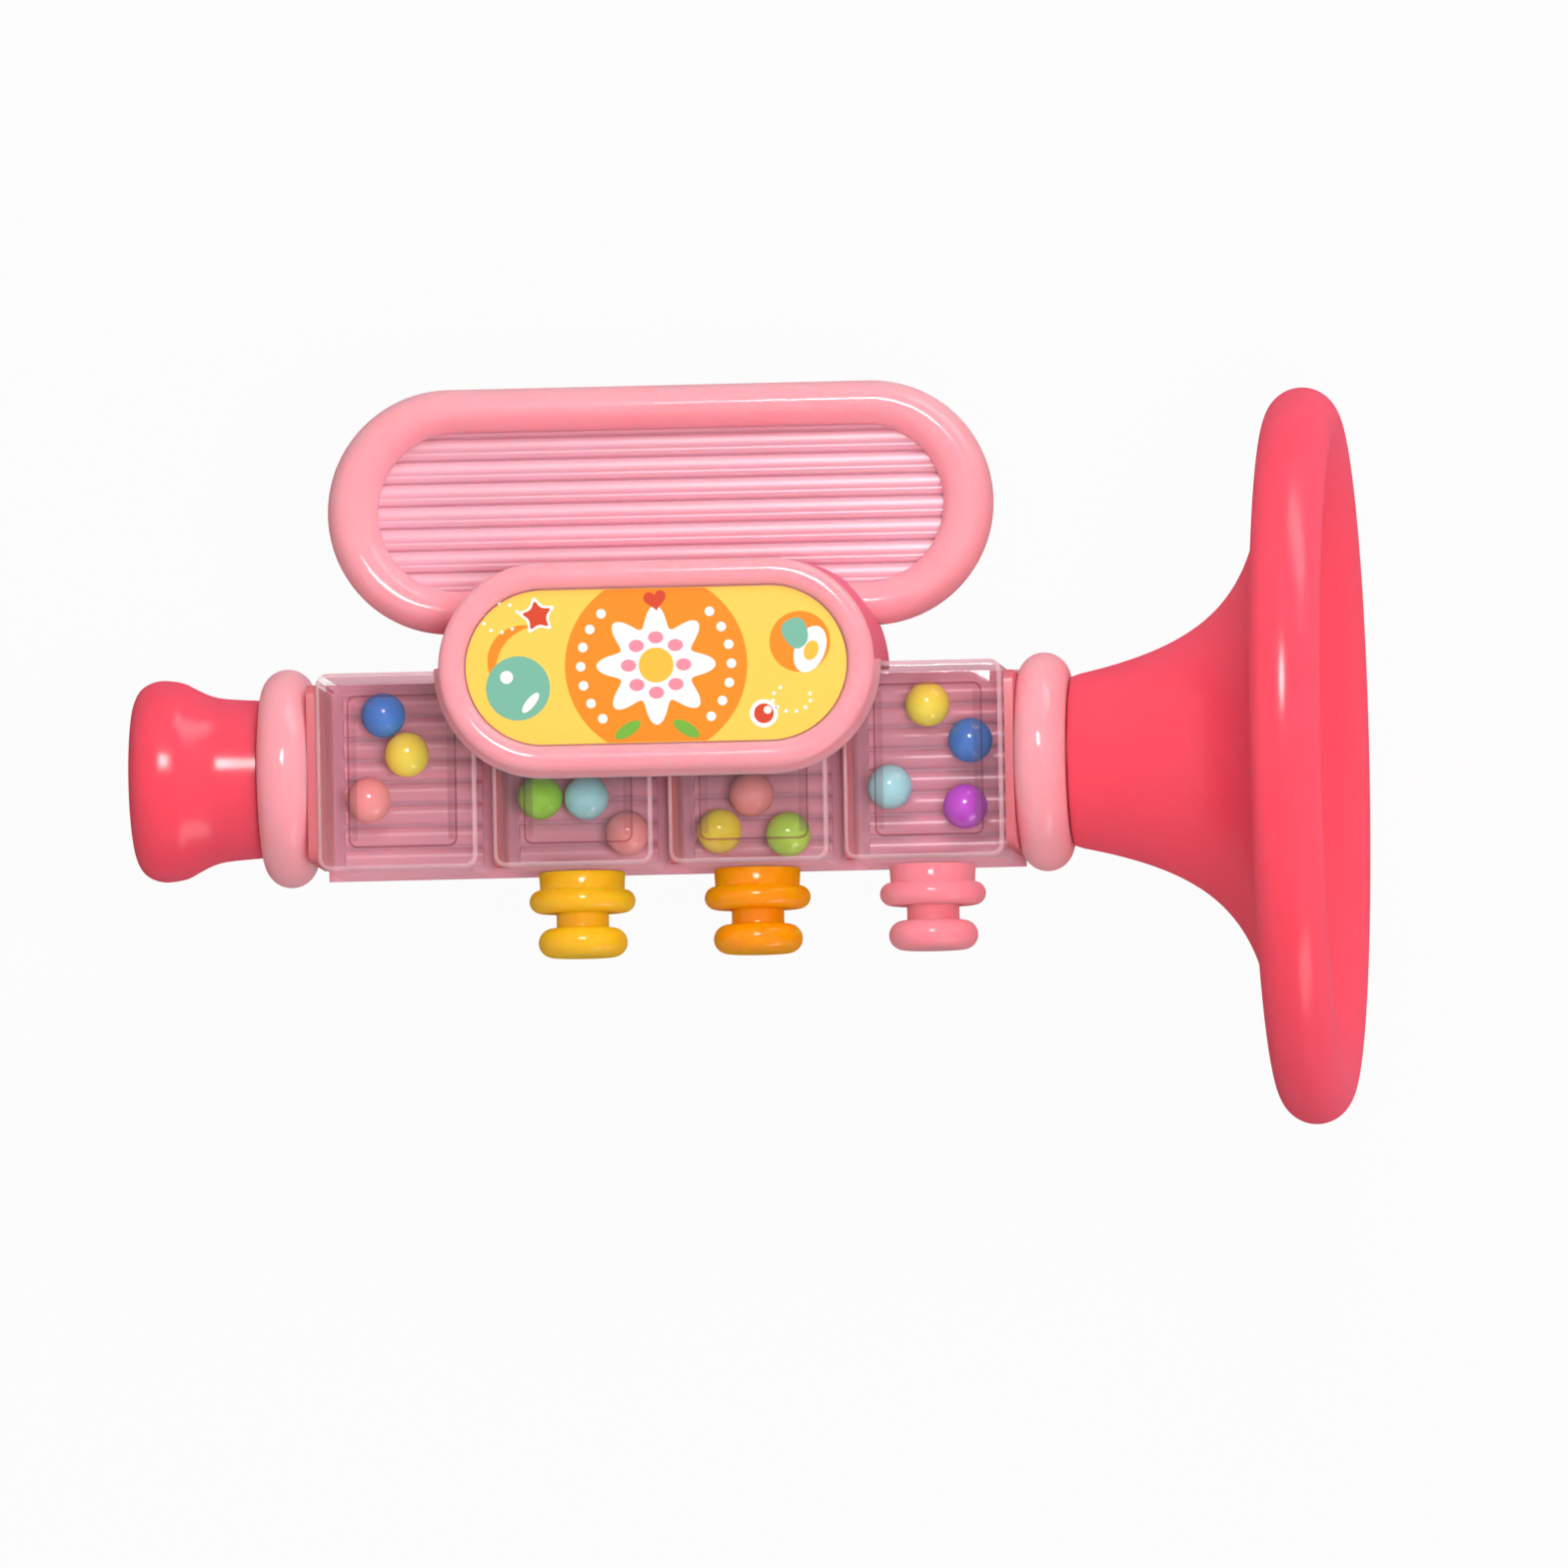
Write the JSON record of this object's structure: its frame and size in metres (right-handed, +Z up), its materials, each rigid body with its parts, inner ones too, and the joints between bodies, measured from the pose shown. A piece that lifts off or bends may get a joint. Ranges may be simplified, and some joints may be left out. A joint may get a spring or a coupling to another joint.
{
  "type": "toy trumpet",
  "caption": "Hand-held toy trumpet with a flared bell, clear rattle chambers with loose beads, spring valve buttons, a looped top tube and a reed mouthpiece",
  "frame": {"origin": "on the table under the middle of the toy's box, where the bell's rim touches with the toy on its back", "axes": "+X along the bore towards the bell, +Y towards the looped tube, +Z up, out of the picture side"},
  "size_m": [0.2158, 0.1338, 0.1306],
  "materials": {
    "coral": "glossy moulded",
    "pink": "glossy moulded",
    "rib_pink": "glossy moulded, ribbed",
    "clear": "clear moulded",
    "label": "printed label",
    "reed_plastic": "moulded",
    "steel": "plain",
    "yellow_plastic": "glossy moulded",
    "orange_plastic": "glossy moulded",
    "rose_plastic": "glossy moulded",
    "bead_blue": "glossy moulded",
    "bead_yellow": "glossy moulded",
    "bead_salmon": "glossy moulded",
    "bead_green": "glossy moulded",
    "bead_light_blue": "glossy moulded",
    "bead_mustard": "glossy moulded",
    "bead_lime": "glossy moulded",
    "bead_purple": "glossy moulded"
  },
  "bodies": {
    "trumpet": {"mouthpiece": "coral", "reed_holder": "reed_plastic", "reed_tongue": "steel", "mouthpiece_ring": "pink", "back_shell": "rib_pink", "window_1": "clear", "window_2": "clear", "window_3": "clear", "window_4": "clear", "bell_ring": "pink", "bell": "coral", "loop_frame": "pink", "ribbed_panel": "rib_pink", "badge_housing": "pink", "bridge_cover": "pink", "badge_sticker": "label", "housing_screw_1": "steel", "housing_screw_2": "steel", "valve_collar_yellow": "yellow_plastic", "valve_collar_orange": "orange_plastic", "valve_collar_pink": "rose_plastic", "valve_spring_yellow": "steel", "valve_spring_orange": "steel", "valve_spring_pink": "steel"},
    "button_yellow": {"valve_button_yellow": "yellow_plastic"},
    "button_orange": {"valve_button_orange": "orange_plastic"},
    "button_pink": {"valve_button_pink": "rose_plastic"},
    "bead_1_blue": {"bead_1_blue": "bead_blue"},
    "bead_1_yellow": {"bead_1_yellow": "bead_yellow"},
    "bead_1_salmon": {"bead_1_salmon": "bead_salmon"},
    "bead_2_green": {"bead_2_green": "bead_green"},
    "bead_2_light_blue": {"bead_2_light_blue": "bead_light_blue"},
    "bead_2_salmon": {"bead_2_salmon": "bead_salmon"},
    "bead_3_salmon": {"bead_3_salmon": "bead_salmon"},
    "bead_3_mustard": {"bead_3_mustard": "bead_mustard"},
    "bead_3_lime": {"bead_3_lime": "bead_lime"},
    "bead_4_yellow": {"bead_4_yellow": "bead_yellow"},
    "bead_4_blue": {"bead_4_blue": "bead_blue"},
    "bead_4_light_blue": {"bead_4_light_blue": "bead_light_blue"},
    "bead_4_purple": {"bead_4_purple": "bead_purple"}
  },
  "joints": [
    {"name": "press_yellow", "type": "slide", "parent": "trumpet", "child": "button_yellow", "axis": [0, 1, 0], "range_m": [0, 0.0024], "stiffness_N_per_m": 300, "springref_m": -0.002, "deforming": ["valve_spring_yellow"]},
    {"name": "press_orange", "type": "slide", "parent": "trumpet", "child": "button_orange", "axis": [0, 1, 0], "range_m": [0, 0.0024], "stiffness_N_per_m": 300, "springref_m": -0.002, "deforming": ["valve_spring_orange"]},
    {"name": "press_pink", "type": "slide", "parent": "trumpet", "child": "button_pink", "axis": [0, 1, 0], "range_m": [0, 0.0024], "stiffness_N_per_m": 300, "springref_m": -0.002, "deforming": ["valve_spring_pink"]},
    {"name": "rattle_1_blue", "type": "slide", "parent": "trumpet", "child": "bead_1_blue", "axis": [0, 0, 1], "range_m": [0, 0.0223]},
    {"name": "rattle_1_yellow", "type": "slide", "parent": "trumpet", "child": "bead_1_yellow", "axis": [0, 0, 1], "range_m": [0, 0.0223]},
    {"name": "rattle_1_salmon", "type": "slide", "parent": "trumpet", "child": "bead_1_salmon", "axis": [0, 0, 1], "range_m": [0, 0.0223]},
    {"name": "rattle_2_green", "type": "slide", "parent": "trumpet", "child": "bead_2_green", "axis": [0, 0, 1], "range_m": [0, 0.0223]},
    {"name": "rattle_2_light_blue", "type": "slide", "parent": "trumpet", "child": "bead_2_light_blue", "axis": [0, 0, 1], "range_m": [0, 0.0223]},
    {"name": "rattle_2_salmon", "type": "slide", "parent": "trumpet", "child": "bead_2_salmon", "axis": [0, 0, 1], "range_m": [0, 0.0223]},
    {"name": "rattle_3_salmon", "type": "slide", "parent": "trumpet", "child": "bead_3_salmon", "axis": [0, 0, 1], "range_m": [0, 0.0223]},
    {"name": "rattle_3_mustard", "type": "slide", "parent": "trumpet", "child": "bead_3_mustard", "axis": [0, 0, 1], "range_m": [0, 0.0223]},
    {"name": "rattle_3_lime", "type": "slide", "parent": "trumpet", "child": "bead_3_lime", "axis": [0, 0, 1], "range_m": [0, 0.0223]},
    {"name": "rattle_4_yellow", "type": "slide", "parent": "trumpet", "child": "bead_4_yellow", "axis": [0, 0, 1], "range_m": [0, 0.0223]},
    {"name": "rattle_4_blue", "type": "slide", "parent": "trumpet", "child": "bead_4_blue", "axis": [0, 0, 1], "range_m": [0, 0.0223]},
    {"name": "rattle_4_light_blue", "type": "slide", "parent": "trumpet", "child": "bead_4_light_blue", "axis": [0, 0, 1], "range_m": [0, 0.0223]},
    {"name": "rattle_4_purple", "type": "slide", "parent": "trumpet", "child": "bead_4_purple", "axis": [0, 0, 1], "range_m": [0, 0.0223]}
  ]
}
